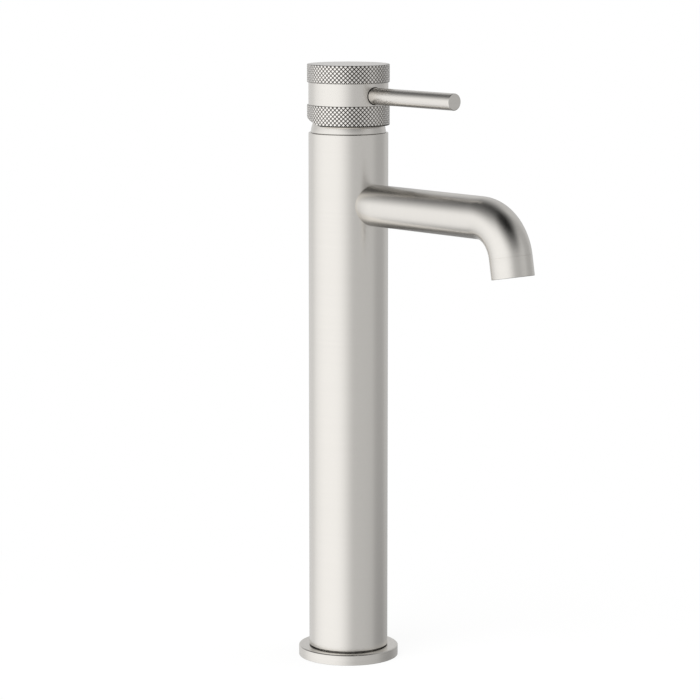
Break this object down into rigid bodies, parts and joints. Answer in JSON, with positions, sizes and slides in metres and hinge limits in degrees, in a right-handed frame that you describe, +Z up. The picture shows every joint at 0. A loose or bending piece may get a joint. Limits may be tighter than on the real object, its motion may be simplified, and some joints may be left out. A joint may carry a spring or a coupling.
{
  "type": "basin mixer tap",
  "caption": "Tall single-lever basin mixer: round column on a flange, hooked tube spout with aerator, and a knurled handle with a pin lever that turns and lifts.",
  "frame": {"origin": "on the column's axis, in the plane of the deck face under the flange", "axes": "+Z up along the column; the spout and the lever point along -Y, the front; +X is to the right seen from the front"},
  "size_m": [0.057, 0.1738, 0.3401],
  "materials": {
    "column_nickel": "satin brushed",
    "flange_nickel": "satin brushed",
    "spout_nickel": "satin brushed",
    "dome_nickel": "turned satin",
    "handle_nickel": "satin with knurled bands",
    "lever_nickel": "satin turned",
    "raw_brass": "machined",
    "copper_tube": "drawn",
    "plain_steel": "machined",
    "screen_steel": "fine mesh",
    "black_rubber": "matt",
    "cartridge_plastic": "moulded",
    "turret_plastic": "moulded",
    "aerator_plastic": "moulded",
    "valve_ceramic": "polished"
  },
  "bodies": {
    "column": {"base_flange": "flange_nickel", "base_gasket": "black_rubber", "inlet_block": "raw_brass", "inlet_block_o_ring": "black_rubber", "hot_feed_tube": "copper_tube", "cold_feed_tube": "copper_tube", "feed_tube_o_rings": "black_rubber", "column_body": "column_nickel", "valve_block": "raw_brass", "spout_tube": "spout_nickel", "spout_root_bush": "raw_brass", "spout_nipple": "raw_brass", "spout_nipple_o_rings": "black_rubber", "aerator_housing": "spout_nickel", "aerator_insert": "aerator_plastic", "aerator_screens": "screen_steel", "aerator_washer": "black_rubber", "cartridge_housing": "cartridge_plastic", "cartridge_base_plate": "cartridge_plastic", "cartridge_base_seals": "black_rubber", "fixed_ceramic_disc": "valve_ceramic", "cartridge_nut": "raw_brass", "dome_cover": "dome_nickel"},
    "turret": {"cartridge_turret": "turret_plastic", "pivot_pin": "plain_steel"},
    "disc": {"moving_ceramic_disc": "valve_ceramic", "disc_carrier": "turret_plastic"},
    "handle": {"cartridge_stem": "raw_brass", "handle_shell": "handle_nickel", "lever_pin": "lever_nickel", "handle_grub_screw": "plain_steel", "screw_hole_plug": "handle_nickel"}
  },
  "joints": [
    {"name": "handle_turn", "type": "hinge", "parent": "column", "child": "turret", "pos_m": [0, 0, 0.2998], "axis": [0, 0, 1], "range_deg": [-50, 50]},
    {"name": "handle_lift", "type": "hinge", "parent": "turret", "child": "handle", "pos_m": [0, 0, 0.2998], "axis": [-1, 0, 0], "range_deg": [0, 25]},
    {"name": "disc_slide", "type": "slide", "parent": "turret", "child": "disc", "axis": [0, -1, 0], "range_m": [0, 0.0039]}
  ],
  "couplings": [
    {"joint": "disc_slide", "follows": "handle_lift", "m_per_rad": 0.00891}
  ]
}
